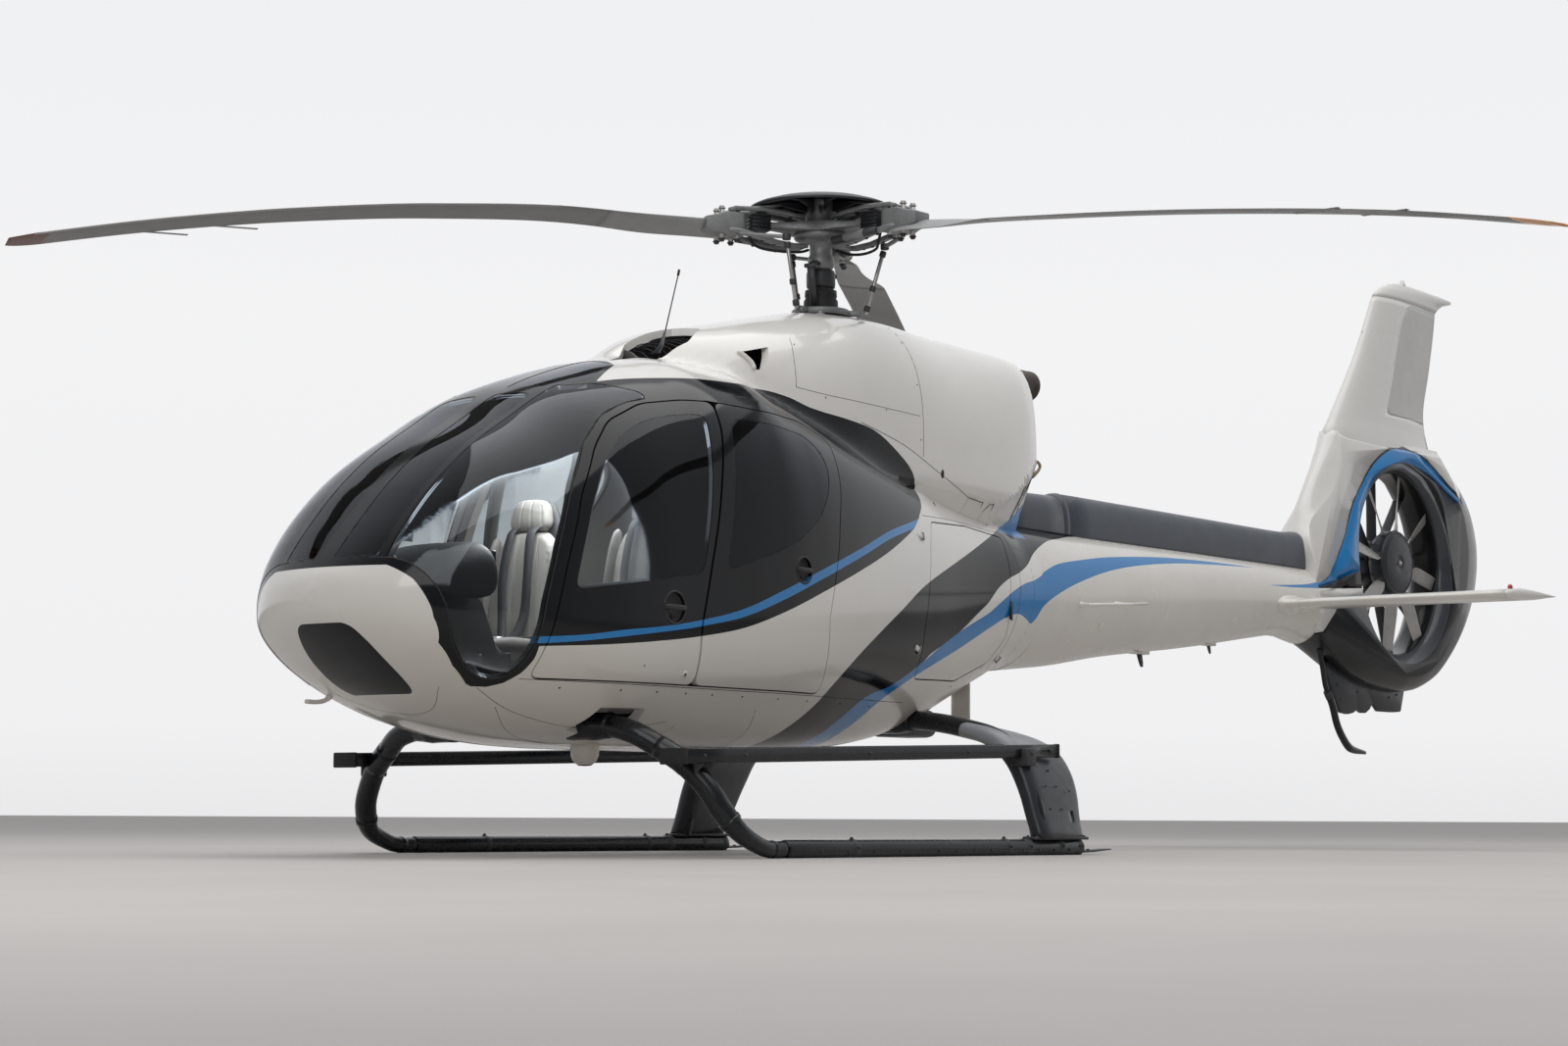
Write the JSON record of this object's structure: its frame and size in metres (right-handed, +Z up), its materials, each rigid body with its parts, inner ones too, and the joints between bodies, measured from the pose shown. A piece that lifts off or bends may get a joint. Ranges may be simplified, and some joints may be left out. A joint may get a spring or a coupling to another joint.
{
  "type": "light helicopter",
  "caption": "Light single-engine helicopter on skids, with a shrouded tail rotor, glazed cabin and hinged front doors.",
  "frame": {"origin": "bottom centre of the whole box, on the ground the skids stand on", "axes": "+X toward the nose, +Y to port, +Z up"},
  "size_m": [9.7603, 5.5594, 3.4],
  "materials": {
    "shell_white": "gloss",
    "composite_white": "gloss",
    "slate": "satin",
    "blade_grey": "satin",
    "hot_steel": "heat stained",
    "black": "matt",
    "tan_leather": "matt",
    "tinted_glass": "polished",
    "alu": "cast"
  },
  "bodies": {
    "airframe": {"aft_fuselage": "shell_white", "cabin_shell": "shell_white", "centre_windshield_port": "tinted_glass", "centre_windshield_starboard": "tinted_glass", "deck_cowling": "shell_white", "driveshaft_cover": "slate", "engine_block": "alu", "engine_cowling": "shell_white", "exhaust_pipe": "hot_steel", "fan_shroud": "composite_white", "fin_cap": "composite_white", "front_cross_tube": "slate", "front_seat_port": "tan_leather", "front_seat_starboard": "tan_leather", "instrument_console": "black", "main_gearbox": "alu", "mast_housing": "black", "nose_cap": "composite_white", "rear_bench_seat": "tan_leather", "rear_cross_tube": "slate", "rear_door_port": "composite_white", "rear_door_window_port": "tinted_glass", "rear_leg_fairing_port": "slate", "rear_leg_fairing_starboard": "slate", "rear_window_starboard": "tinted_glass", "roof_window_port": "tinted_glass", "roof_window_starboard": "tinted_glass", "side_windshield_port": "tinted_glass", "side_windshield_starboard": "tinted_glass", "skid_spring_port": "slate", "skid_spring_starboard": "slate", "skid_tube_port": "slate", "skid_tube_starboard": "slate", "stabiliser_port": "composite_white", "stabiliser_starboard": "composite_white", "step_board_port": "slate", "step_board_starboard": "slate", "tail_boom": "composite_white", "tail_bumper": "slate", "tail_fin": "composite_white", "tail_gearbox": "slate", "ventral_plate": "slate"},
    "main_rotor": {"hub_cap": "slate", "rotor_blade_1": "blade_grey", "rotor_blade_2": "blade_grey", "rotor_blade_3": "blade_grey", "rotor_hub": "slate"},
    "tail_rotor": {"tail_rotor": "blade_grey"},
    "port_front_door": {"front_door_port": "composite_white", "front_door_window_port": "tinted_glass"},
    "starboard_front_door": {"front_door_starboard": "composite_white", "front_door_window_starboard": "tinted_glass"},
    "port_baggage_door": {"baggage_door_port": "composite_white"}
  },
  "joints": [
    {"name": "main_rotor_spin", "type": "hinge", "parent": "airframe", "child": "main_rotor", "pos_m": [1.7399, -0.8406, 2.6], "axis": [0, 0, 1], "continuous": true},
    {"name": "tail_rotor_spin", "type": "hinge", "parent": "airframe", "child": "tail_rotor", "pos_m": [-3.7501, -0.8406, 1.672], "axis": [0, 1, 0], "continuous": true},
    {"name": "port_front_door_hinge", "type": "hinge", "parent": "airframe", "child": "port_front_door", "pos_m": [4.2949, -0.1286, 1], "axis": [0, 0, -1], "range_deg": [0, 75]},
    {"name": "starboard_front_door_hinge", "type": "hinge", "parent": "airframe", "child": "starboard_front_door", "pos_m": [4.2949, -1.5526, 1], "axis": [0, 0, 1], "range_deg": [0, 75]},
    {"name": "port_baggage_door_hinge", "type": "hinge", "parent": "airframe", "child": "port_baggage_door", "pos_m": [1.6849, -0.2656, 1.1], "axis": [0, 0, -1], "range_deg": [0, 90]}
  ]
}
